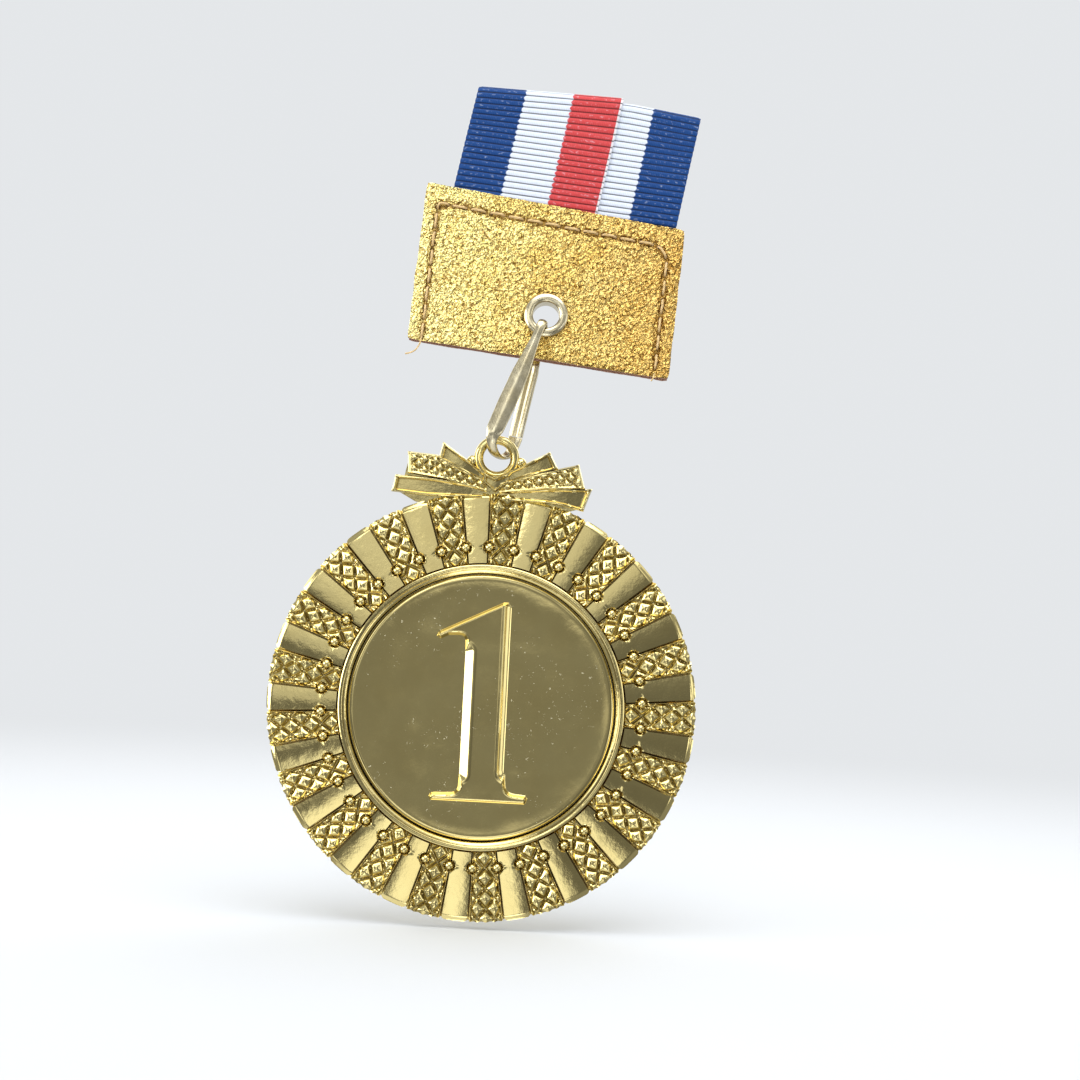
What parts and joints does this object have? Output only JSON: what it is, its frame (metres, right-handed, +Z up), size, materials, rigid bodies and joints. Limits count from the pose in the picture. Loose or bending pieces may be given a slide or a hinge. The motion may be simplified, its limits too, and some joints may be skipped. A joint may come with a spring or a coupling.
{
  "type": "medal",
  "caption": "Round award medal with a pleated border, bow and raised numeral, on a snap hook, leather patch and folded striped neck ribbon",
  "frame": {"origin": "centre of the disc's flat back face", "axes": "+Z up along the numeral, +X to the viewer's right, the medal's front faces -Y, so +Y is the outward normal of the back"},
  "size_m": [0.065, 0.0219, 0.1282],
  "materials": {
    "cast_gold": "bright gold plate over zinc casting",
    "polished_gold": "mirror-polished gold plate",
    "pad": "thin foam tape",
    "nickel": "champagne nickel plate",
    "gold_leather": "pebbled, metallic gold coating",
    "board": "pink-brown board",
    "tan_thread": "polyester sewing thread",
    "ribbon": "three-colour grosgrain: blue, white and red"
  },
  "bodies": {
    "patch": {"patch_front_leather": "gold_leather", "patch_back_leather": "gold_leather", "patch_stiffener": "board", "needle_thread": "tan_thread", "bobbin_thread": "tan_thread", "eyelet": "nickel", "eyelet_washer": "nickel", "ribbon_left_end": "ribbon", "ribbon_right_end": "ribbon"},
    "hook": {"hook_body": "nickel"},
    "gate": {"hook_gate": "nickel"},
    "medal": {"medal_casting": "cast_gold", "centre_disc": "polished_gold", "adhesive_pad": "pad"},
    "ribbon_legs": {"ribbon_left_leg": "ribbon", "ribbon_right_leg": "ribbon"},
    "ribbon_folds": {"ribbon_left_folds": "ribbon", "ribbon_right_folds": "ribbon", "neck_seam_thread": "tan_thread"}
  },
  "joints": [
    {"name": "hook_swing", "type": "hinge", "parent": "patch", "child": "hook", "pos_m": [0.0067, 0.00146, 0.0599], "axis": [0.0121, -0.9903, 0.1386], "range_deg": [-30, 30]},
    {"name": "medal_swing", "type": "hinge", "parent": "hook", "child": "medal", "pos_m": [0.0004, -0.0017, 0.03785], "axis": [0, -1, 0], "range_deg": [-30, 30]},
    {"name": "gate_open", "type": "hinge", "parent": "hook", "child": "gate", "pos_m": [0.00497, 0.00262, 0.05173], "axis": [-0.9411, 0.2441, 0.2339], "range_deg": [0, 12]},
    {"name": "ribbon_flex", "type": "hinge", "parent": "patch", "child": "ribbon_legs", "pos_m": [0.00822, 0.00392, 0.07731], "axis": [0.991, -0.0066, -0.1336], "range_deg": [0, 70]},
    {"name": "ribbon_unfold", "type": "hinge", "parent": "ribbon_legs", "child": "ribbon_folds", "pos_m": [0.00962, 0.00719, 0.0933], "axis": [0.9962, 0, -0.0872], "range_deg": [0, 90]}
  ]
}
